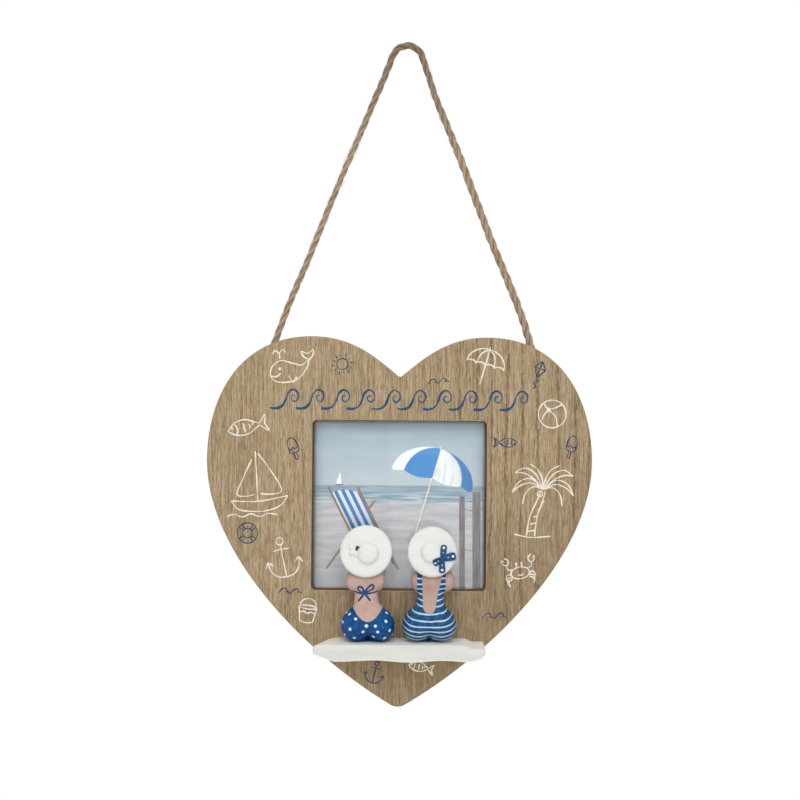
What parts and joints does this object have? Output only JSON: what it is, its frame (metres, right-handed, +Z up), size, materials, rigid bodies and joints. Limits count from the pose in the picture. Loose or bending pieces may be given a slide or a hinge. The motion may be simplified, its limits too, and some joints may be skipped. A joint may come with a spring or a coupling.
{
  "type": "hanging picture frame",
  "caption": "Heart-shaped wooden picture frame with a square window, hung from a jute cord, with a white ledge carrying seated figures in sun hats and turn buttons on the back.",
  "frame": {"origin": "the hang point: the inside of the cord's bend, in the middle of the board's thickness; the heart's centre line hangs 2.4 mm to the left of it", "axes": "+X to the viewer's right, +Y back towards the wall, +Z up; the front faces -Y"},
  "size_m": [0.2, 0.0384, 0.3466],
  "materials": {
    "oak_board": "matt oak veneer with upright grain and printed line drawings",
    "clear_pane": "clear and smooth",
    "print_paper": "satin photo paper",
    "hardboard": "plain brown hardboard",
    "button_steel": "zinc-plated sheet",
    "screw_steel": "zinc-plated",
    "jute": "twisted natural jute",
    "ledge_white": "white paint over a cast, driftwood-like ledge",
    "figure_paint": "hand-painted cast resin in skin tone, blue and white",
    "hat_white": "white paint over cast resin",
    "bow_blue": "blue paint with white dots"
  },
  "bodies": {
    "frame": {"heart_board": "oak_board", "glazing_pane": "clear_pane", "photo_print": "print_paper", "backing_panel": "hardboard", "button_screw_top": "screw_steel", "button_screw_right": "screw_steel", "button_screw_bottom": "screw_steel", "button_screw_left": "screw_steel", "hanging_cord": "jute", "driftwood_ledge": "ledge_white", "left_figure": "figure_paint", "right_figure": "figure_paint", "left_hat": "hat_white", "right_hat": "hat_white", "left_hat_flower": "hat_white", "right_hat_bow": "bow_blue"},
    "button_top": {"turn_button_top": "button_steel"},
    "button_right": {"turn_button_right": "button_steel"},
    "button_bottom": {"turn_button_bottom": "button_steel"},
    "button_left": {"turn_button_left": "button_steel"}
  },
  "joints": [
    {"name": "button_top_turn", "type": "hinge", "parent": "frame", "child": "button_top", "pos_m": [-0.0024, 0.0068, -0.1829], "axis": [0, 1, 0], "continuous": true},
    {"name": "button_right_turn", "type": "hinge", "parent": "frame", "child": "button_right", "pos_m": [0.0541, 0.0068, -0.2382], "axis": [0, 1, 0], "continuous": true},
    {"name": "button_bottom_turn", "type": "hinge", "parent": "frame", "child": "button_bottom", "pos_m": [-0.0024, 0.0068, -0.2935], "axis": [0, 1, 0], "continuous": true},
    {"name": "button_left_turn", "type": "hinge", "parent": "frame", "child": "button_left", "pos_m": [-0.0589, 0.0068, -0.2382], "axis": [0, 1, 0], "continuous": true}
  ]
}
